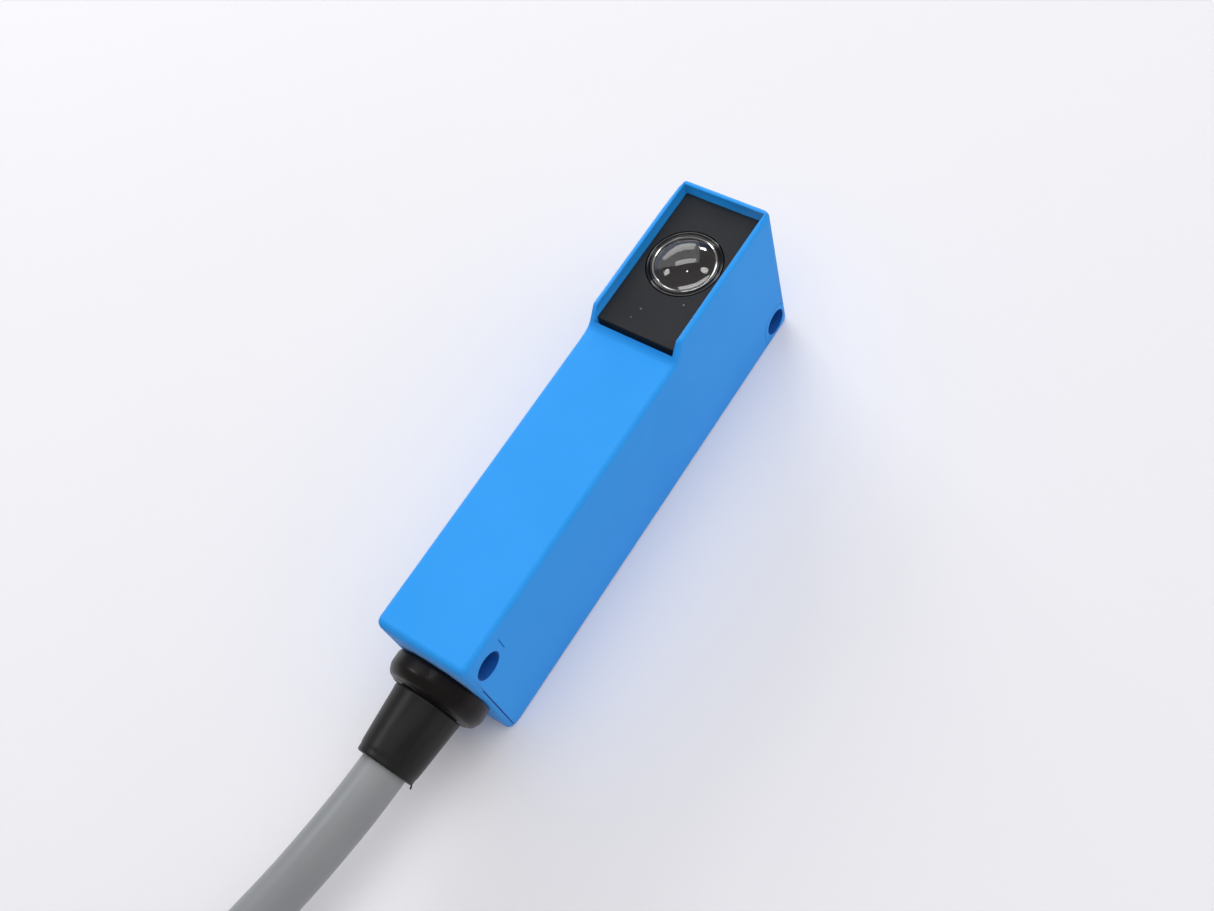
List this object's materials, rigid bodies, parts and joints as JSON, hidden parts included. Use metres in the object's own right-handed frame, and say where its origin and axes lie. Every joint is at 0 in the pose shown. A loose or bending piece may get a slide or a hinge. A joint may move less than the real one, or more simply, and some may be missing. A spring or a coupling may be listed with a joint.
{
  "type": "photoelectric sensor",
  "caption": "Slim rectangular photoelectric sensor with a domed lens in a raised, recessed window, cross mounting holes, a turning adjuster and a lead folded in a hank.",
  "frame": {"origin": "middle of the flat back face, on which the sensor lies", "axes": "+X across the width, +Y along the length towards the head, +Z out of the lens"},
  "size_m": [0.0492, 0.1961, 0.0329],
  "materials": {
    "blue_plastic": "bright blue moulded plastic, satin, very fine texture",
    "panel_plastic": "matte black moulded plastic, finely textured",
    "clear_lens": "clear polished plastic",
    "black_plastic": "black moulded plastic, satin",
    "component_black": "black moulded package",
    "circuit_board": "green solder mask",
    "bare_metal": "plain bright metal",
    "adjuster_plastic": "off-white moulded plastic",
    "trimmer_body": "dark blue moulded plastic",
    "indicator_lamp": "amber lamp package",
    "clear_guide": "clear plastic, slightly frosted",
    "rubber": "black moulded rubber",
    "cable_jacket": "grey soft plastic jacket, satin",
    "brown_insulation": "smooth wire insulation",
    "white_insulation": "smooth wire insulation",
    "black_insulation": "smooth wire insulation",
    "blue_insulation": "smooth wire insulation"
  },
  "bodies": {
    "sensor": {"housing": "blue_plastic", "rear_cover": "blue_plastic", "front_panel": "panel_plastic", "lens": "clear_lens", "lens_ring": "black_plastic", "lens_barrel": "black_plastic", "light_stop": "black_plastic", "light_detector": "component_black", "detector_lens": "clear_lens", "main_board": "circuit_board", "end_board": "circuit_board", "board_link": "component_black", "suppressor_diode": "component_black", "output_transistor": "component_black", "voltage_regulator": "component_black", "controller_chip": "component_black", "amplifier_chip": "component_black", "storage_capacitor": "bare_metal", "trimmer": "trimmer_body", "indicator_led": "indicator_lamp", "light_guide": "clear_guide", "gland_flange": "black_plastic", "strain_relief": "rubber", "cable_clamp": "bare_metal", "cable_entry": "cable_jacket", "inner_wire_1": "brown_insulation", "inner_wire_2": "white_insulation", "inner_wire_3": "black_insulation", "inner_wire_4": "blue_insulation", "cable": "cable_jacket", "cable_hank": "cable_jacket", "hank_tie": "black_plastic", "cable_tail": "cable_jacket", "wire_end_1": "brown_insulation", "wire_end_2": "white_insulation", "wire_end_3": "black_insulation", "wire_end_4": "blue_insulation"},
    "adjuster": {"adjuster_screw": "adjuster_plastic", "adjuster_seal": "rubber"}
  },
  "joints": [
    {"name": "adjuster_turn", "type": "hinge", "parent": "sensor", "child": "adjuster", "pos_m": [0, 0.031, 0.0132], "axis": [0, 1, 0], "range_deg": [-135, 135]}
  ]
}
